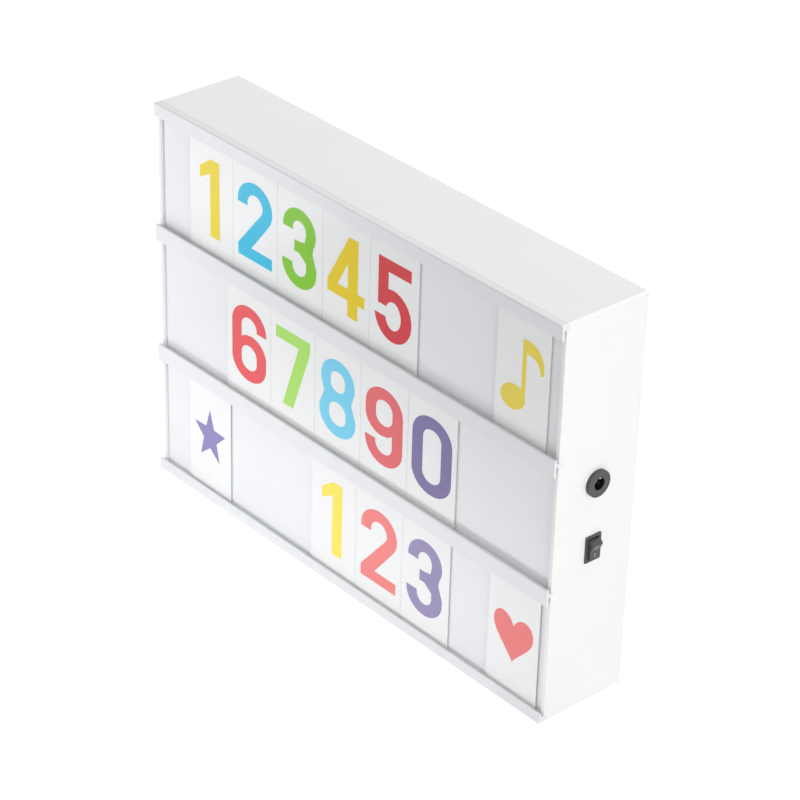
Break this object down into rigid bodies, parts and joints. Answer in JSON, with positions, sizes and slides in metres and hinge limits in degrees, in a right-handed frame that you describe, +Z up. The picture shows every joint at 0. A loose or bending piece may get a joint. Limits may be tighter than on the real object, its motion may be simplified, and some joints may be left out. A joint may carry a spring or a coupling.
{
  "type": "cinema light box",
  "caption": "Shallow white light box with card rails across an opal front, slide-in cards, side inlet and rocker switch, and a battery door behind.",
  "frame": {"origin": "middle of the case's flat bottom face, on which it stands", "axes": "+X to the right seen from the front, -Y is the front with the cards, +Z up"},
  "size_m": [0.3038, 0.054, 0.218],
  "materials": {
    "white_plastic": "white moulded plastic, fine satin",
    "dark_plastic": "dark grey plastic, fine grain",
    "opal_panel": "opal diffusing plastic, satin",
    "card_film": "translucent plastic film, glossy",
    "contact_metal": "nickel plated",
    "cell_metal": "plain wrapped steel cans",
    "board": "white coated circuit board",
    "lamp_plastic": "lamp bodies with phosphor faces",
    "resistor_black": "matte black",
    "screw_steel": "zinc plated steel",
    "wire_red": "plastic insulation",
    "wire_black": "plastic insulation"
  },
  "bodies": {
    "case": {"housing": "white_plastic", "back_cover": "white_plastic", "rail_top": "white_plastic", "rail_upper": "white_plastic", "rail_lower": "white_plastic", "rail_bottom": "white_plastic", "switch_body": "dark_plastic", "dc_jack_body": "dark_plastic", "front_panel": "opal_panel", "switch_terminals": "contact_metal", "dc_jack_pin": "contact_metal", "dc_jack_nut": "contact_metal", "dc_jack_lugs": "contact_metal", "battery_contacts_upper": "contact_metal", "battery_contacts_lower": "contact_metal", "battery_cell_1": "cell_metal", "battery_cell_2": "cell_metal", "battery_cell_3": "cell_metal", "battery_cell_4": "cell_metal", "battery_cell_5": "cell_metal", "battery_cell_6": "cell_metal", "light_bar_upper": "board", "light_bar_middle": "board", "light_bar_lower": "board", "lamps_upper": "lamp_plastic", "lamps_middle": "lamp_plastic", "lamps_lower": "lamp_plastic", "resistors": "resistor_black", "case_screws": "screw_steel", "bar_screws": "screw_steel", "wire_battery_plus": "wire_red", "wire_jack_plus": "wire_red", "wire_switched": "wire_red", "wire_battery_minus": "wire_black", "wire_jack_minus": "wire_black", "wire_bar_links": "wire_black"},
    "rocker": {"switch_rocker": "dark_plastic"},
    "door": {"battery_door": "white_plastic"},
    "card_top_1": {"card_top_1": "card_film"},
    "card_top_2": {"card_top_2": "card_film"},
    "card_top_3": {"card_top_3": "card_film"},
    "card_top_4": {"card_top_4": "card_film"},
    "card_top_5": {"card_top_5": "card_film"},
    "card_note": {"card_note": "card_film"},
    "card_middle_1": {"card_middle_1": "card_film"},
    "card_middle_2": {"card_middle_2": "card_film"},
    "card_middle_3": {"card_middle_3": "card_film"},
    "card_middle_4": {"card_middle_4": "card_film"},
    "card_middle_5": {"card_middle_5": "card_film"},
    "card_star": {"card_star": "card_film"},
    "card_bottom_1": {"card_bottom_1": "card_film"},
    "card_bottom_2": {"card_bottom_2": "card_film"},
    "card_bottom_3": {"card_bottom_3": "card_film"},
    "card_heart": {"card_heart": "card_film"}
  },
  "joints": [
    {"name": "card_top_1_slide", "type": "slide", "parent": "case", "child": "card_top_1", "axis": [1, 0, 0], "range_m": [-0.0232, 0.0539]},
    {"name": "card_top_2_slide", "type": "slide", "parent": "case", "child": "card_top_2", "axis": [1, 0, 0], "range_m": [-0.0232, 0.0539]},
    {"name": "card_top_3_slide", "type": "slide", "parent": "case", "child": "card_top_3", "axis": [1, 0, 0], "range_m": [-0.0232, 0.0539]},
    {"name": "card_top_4_slide", "type": "slide", "parent": "case", "child": "card_top_4", "axis": [1, 0, 0], "range_m": [-0.0232, 0.0539]},
    {"name": "card_top_5_slide", "type": "slide", "parent": "case", "child": "card_top_5", "axis": [1, 0, 0], "range_m": [-0.0232, 0.0539]},
    {"name": "card_middle_1_slide", "type": "slide", "parent": "case", "child": "card_middle_1", "axis": [1, 0, 0], "range_m": [-0.0535, 0.0663]},
    {"name": "card_middle_2_slide", "type": "slide", "parent": "case", "child": "card_middle_2", "axis": [1, 0, 0], "range_m": [-0.0535, 0.0663]},
    {"name": "card_middle_3_slide", "type": "slide", "parent": "case", "child": "card_middle_3", "axis": [1, 0, 0], "range_m": [-0.0535, 0.0663]},
    {"name": "card_middle_4_slide", "type": "slide", "parent": "case", "child": "card_middle_4", "axis": [1, 0, 0], "range_m": [-0.0535, 0.0663]},
    {"name": "card_middle_5_slide", "type": "slide", "parent": "case", "child": "card_middle_5", "axis": [1, 0, 0], "range_m": [-0.0535, 0.0663]},
    {"name": "card_bottom_1_slide", "type": "slide", "parent": "case", "child": "card_bottom_1", "axis": [1, 0, 0], "range_m": [-0.0666, 0.0283]},
    {"name": "card_bottom_2_slide", "type": "slide", "parent": "case", "child": "card_bottom_2", "axis": [1, 0, 0], "range_m": [-0.0666, 0.0283]},
    {"name": "card_bottom_3_slide", "type": "slide", "parent": "case", "child": "card_bottom_3", "axis": [1, 0, 0], "range_m": [-0.0666, 0.0283]},
    {"name": "card_note_slide", "type": "slide", "parent": "case", "child": "card_note", "axis": [1, 0, 0], "range_m": [-0.0539, 0.0074]},
    {"name": "card_star_slide", "type": "slide", "parent": "case", "child": "card_star", "axis": [1, 0, 0], "range_m": [-0.0203, 0.0666]},
    {"name": "card_heart_slide", "type": "slide", "parent": "case", "child": "card_heart", "axis": [1, 0, 0], "range_m": [-0.0283, 0.0043]},
    {"name": "switch_rock", "type": "hinge", "parent": "case", "child": "rocker", "pos_m": [0.1484, 0, 0.09], "axis": [0, 1, 0], "range_deg": [-24, 0]},
    {"name": "door_open", "type": "hinge", "parent": "case", "child": "door", "pos_m": [0, 0.02565, 0.0661], "axis": [1, 0, 0], "range_deg": [0, 45]}
  ],
  "couplings": [
    {"joint": "card_top_2_slide", "follows": "card_top_1_slide", "ratio": 1},
    {"joint": "card_top_3_slide", "follows": "card_top_1_slide", "ratio": 1},
    {"joint": "card_top_4_slide", "follows": "card_top_1_slide", "ratio": 1},
    {"joint": "card_top_5_slide", "follows": "card_top_1_slide", "ratio": 1},
    {"joint": "card_middle_2_slide", "follows": "card_middle_1_slide", "ratio": 1},
    {"joint": "card_middle_3_slide", "follows": "card_middle_1_slide", "ratio": 1},
    {"joint": "card_middle_4_slide", "follows": "card_middle_1_slide", "ratio": 1},
    {"joint": "card_middle_5_slide", "follows": "card_middle_1_slide", "ratio": 1},
    {"joint": "card_bottom_2_slide", "follows": "card_bottom_1_slide", "ratio": 1},
    {"joint": "card_bottom_3_slide", "follows": "card_bottom_1_slide", "ratio": 1}
  ]
}
